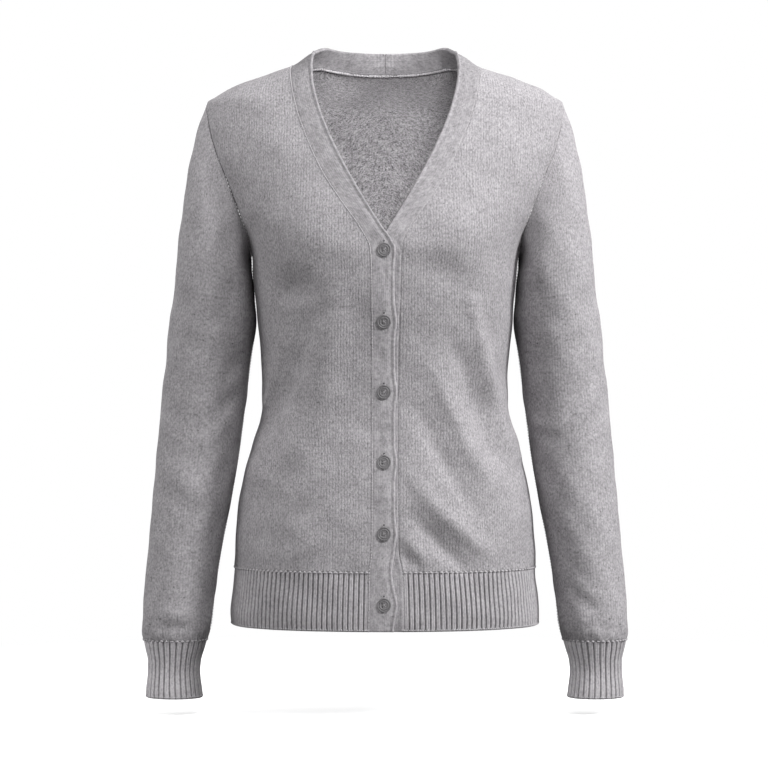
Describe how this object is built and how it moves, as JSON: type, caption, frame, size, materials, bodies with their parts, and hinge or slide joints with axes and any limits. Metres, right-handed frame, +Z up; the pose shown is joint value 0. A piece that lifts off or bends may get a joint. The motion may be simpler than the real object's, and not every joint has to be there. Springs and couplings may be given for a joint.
{
  "type": "button cardigan",
  "caption": "Long-sleeved V-neck knitted cardigan, worn shape and hollow, buttoned down the front, with ribbed hem and cuffs.",
  "frame": {"origin": "midway between the two points where the shoulder seams meet the neck band's seam, where the wearer's shoulders hold it", "axes": "+Z up, the wearer faces -Y, and +X is the wearer's left"},
  "size_m": [0.4988, 0.2333, 0.6696],
  "materials": {
    "knit": "grey marl plain knit, soft and matt",
    "rib": "grey marl ribbed knit",
    "band": "grey marl fine knit, folded double",
    "button": "smooth mid grey, satin",
    "thread": "grey sewing and linking yarn"
  },
  "bodies": {
    "root": {"back": "knit", "front_right": "knit", "front_left": "knit", "sleeve_right": "knit", "sleeve_left": "knit", "band_right": "band", "band_left": "band", "hem_right": "rib", "hem_left": "rib", "hem_back": "rib", "cuff_right": "rib", "cuff_left": "rib", "button_1": "button", "button_2": "button", "button_3": "button", "button_4": "button", "button_5": "button", "button_6": "button"}
  },
  "joints": []
}
